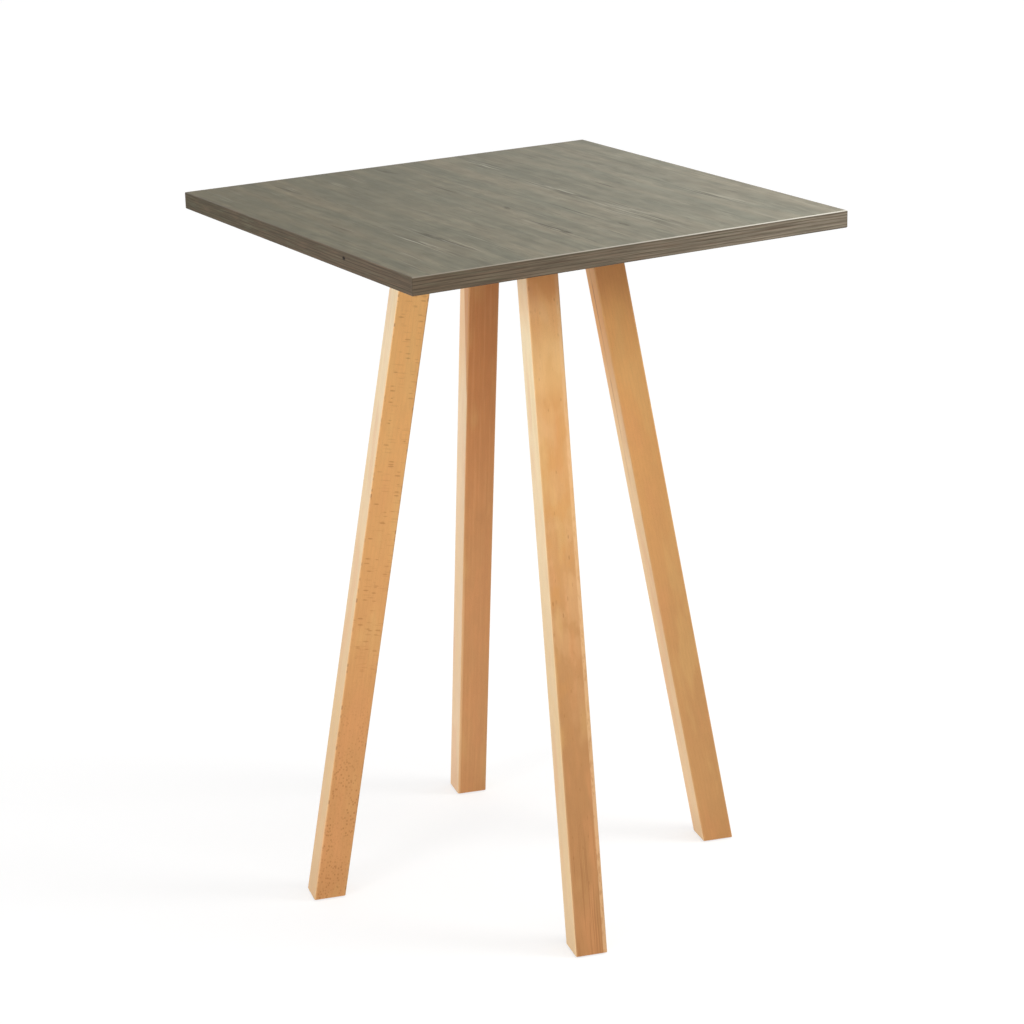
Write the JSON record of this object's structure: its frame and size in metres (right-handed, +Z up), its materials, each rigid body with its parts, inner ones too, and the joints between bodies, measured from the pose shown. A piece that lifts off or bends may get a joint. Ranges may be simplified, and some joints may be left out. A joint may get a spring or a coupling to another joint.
{
  "type": "bar table",
  "caption": "Square bar-height table: a laminated wood-look top on splayed square beech legs, bolted into folded steel shoes under a round mounting plate.",
  "frame": {"origin": "on the floor, below the middle of the square top", "axes": "+Z up; -Y towards the front side of the top and +X towards its right side, with the top's grain along Y; the legs stand 14 degrees clockwise of the +X, +Y, -X and -Y directions, seen from above"},
  "size_m": [0.7, 0.7, 1.05],
  "materials": {
    "decor_laminate": "fine wood-grain emboss",
    "balance_laminate": "plain matt",
    "edge_band": "satin wood grain",
    "chipboard": "raw pressed chips",
    "beech": "clear satin lacquer",
    "frame_steel": "fine black powder coat",
    "fastener_steel": "bright zinc plate",
    "glide_plastic": "matt moulded"
  },
  "bodies": {
    "root": {"top_core": "chipboard", "decor_laminate": "decor_laminate", "balance_laminate": "balance_laminate", "edge_band_right": "edge_band", "edge_band_back": "edge_band", "edge_band_left": "edge_band", "edge_band_front": "edge_band", "leg_right": "beech", "leg_back": "beech", "leg_left": "beech", "leg_front": "beech", "glide_right": "glide_plastic", "glide_back": "glide_plastic", "glide_left": "glide_plastic", "glide_front": "glide_plastic", "leg_shoe_right": "frame_steel", "leg_shoe_back": "frame_steel", "leg_shoe_left": "frame_steel", "leg_shoe_front": "frame_steel", "mounting_plate": "frame_steel", "cross_tie_upper": "frame_steel", "cross_tie_lower": "frame_steel", "leg_bolts": "fastener_steel", "bolt_washers": "fastener_steel", "threaded_inserts": "fastener_steel", "plate_screws": "fastener_steel"}
  },
  "joints": []
}
